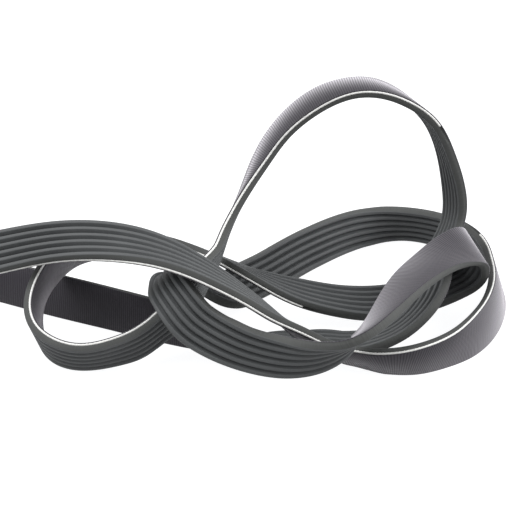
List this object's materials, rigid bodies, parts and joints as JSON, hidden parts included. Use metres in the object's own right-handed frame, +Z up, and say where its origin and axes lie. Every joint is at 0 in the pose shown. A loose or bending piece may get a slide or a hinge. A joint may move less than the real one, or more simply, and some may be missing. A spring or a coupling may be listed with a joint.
{
  "type": "ribbed drive belt",
  "caption": "Endless ribbed rubber drive belt lying loose in tumbled loops, fabric back, white tension cord showing in its cut edges.",
  "frame": {"origin": "middle of the lying belt's footprint, on the surface that it rests on", "axes": "+Z up from the surface; +X along the tumbled belt's longest reach, from its left bend to its right loop; +Y away from the viewer"},
  "size_m": [0.3184, 0.178, 0.1121],
  "materials": {
    "ribbed_rubber": "matte",
    "cord_fibre": "matte"
  },
  "bodies": {
    "root": {"ribbed_belt": "ribbed_rubber", "edge_cord_first": "cord_fibre", "edge_cord_second": "cord_fibre"}
  },
  "joints": []
}
